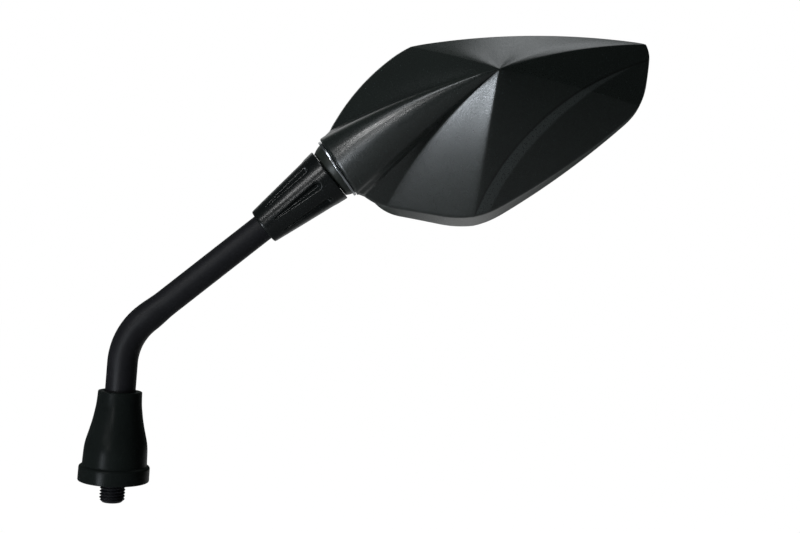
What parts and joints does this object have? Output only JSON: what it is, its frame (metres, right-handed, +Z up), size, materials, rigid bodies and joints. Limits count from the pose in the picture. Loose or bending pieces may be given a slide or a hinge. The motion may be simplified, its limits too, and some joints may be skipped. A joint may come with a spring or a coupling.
{
  "type": "motorcycle mirror",
  "caption": "Left-angled faceted mirror head on a ball joint, on a bent tapered stem with a fluted sleeve, a rubber boot over the lock nut and a threaded mounting stud.",
  "frame": {"origin": "centre of the rubber boot's bottom face, on the stud's axis", "axes": "+Z up along the stud, +X from the stem towards the head, +Y the way the glass faces, towards the rider"},
  "size_m": [0.2187, 0.044, 0.2039],
  "materials": {
    "stem_black": "satin black powder coat on steel",
    "hex_black": "satin black powder coat on steel",
    "zinc_steel": "bright zinc plated steel",
    "boot_rubber": "matt black moulded rubber",
    "sleeve_black": "satin black glass-filled nylon",
    "ball_metal": "dark satin coated zinc casting",
    "liner_nylon": "natural nylon",
    "spring_steel": "oiled spring steel",
    "housing_black": "black moulded plastic with a fine spark-eroded grain",
    "carrier_black": "black moulded plastic",
    "foam_black": "closed-cell adhesive foam",
    "mirror_glass": "silvered convex glass"
  },
  "bodies": {
    "stem_body": {"stem": "stem_black", "stem_hex": "hex_black", "jam_nut": "zinc_steel", "ball": "ball_metal", "pressure_cup": "spring_steel", "disc_spring_1": "spring_steel", "disc_spring_2": "spring_steel", "pivot_bolt": "zinc_steel"},
    "washer_body": {"lock_washer": "zinc_steel"},
    "nut_body": {"lock_nut": "zinc_steel"},
    "boot_body": {"base_boot": "boot_rubber"},
    "sleeve_body": {"sleeve": "sleeve_black"},
    "liner_body": {"seat_liner": "liner_nylon"},
    "wiper_body": {"wiper_ring": "spring_steel"},
    "head_body": {"housing": "housing_black", "carrier_plate": "carrier_black", "carrier_screw_1": "zinc_steel", "carrier_screw_2": "zinc_steel", "carrier_screw_3": "zinc_steel", "carrier_screw_4": "zinc_steel", "foam_pad": "foam_black", "mirror_glass": "mirror_glass"}
  },
  "joints": [
    {"name": "head_tilt", "type": "hinge", "parent": "stem_body", "child": "liner_body", "pos_m": [0.08169, 0, 0.13315], "axis": [0, 1, 0], "range_deg": [-8, 8]},
    {"name": "head_swing", "type": "hinge", "parent": "liner_body", "child": "wiper_body", "pos_m": [0.08169, 0, 0.13315], "axis": [-0.6293, 0, 0.7771], "range_deg": [-8, 8]},
    {"name": "head_spin", "type": "hinge", "parent": "wiper_body", "child": "head_body", "pos_m": [0.08169, 0, 0.13315], "axis": [0.7771, 0, 0.6293], "continuous": true},
    {"name": "nut_turn", "type": "hinge", "parent": "washer_body", "child": "nut_body", "pos_m": [0, 0, 0.005], "axis": [0, 0, 1], "range_deg": [0, 750]},
    {"name": "washer_slide", "type": "slide", "parent": "stem_body", "child": "washer_body", "axis": [0, 0, 1], "range_m": [0, 0.0025]},
    {"name": "boot_slide", "type": "slide", "parent": "stem_body", "child": "boot_body", "axis": [0, 0, 1], "range_m": [0, 0.011]},
    {"name": "sleeve_slide", "type": "slide", "parent": "stem_body", "child": "sleeve_body", "axis": [-0.7373, 0, -0.6756], "range_m": [0, 0.05]}
  ],
  "couplings": [
    {"joint": "nut_turn", "follows": "washer_slide", "rad_per_m": 5026.5}
  ]
}
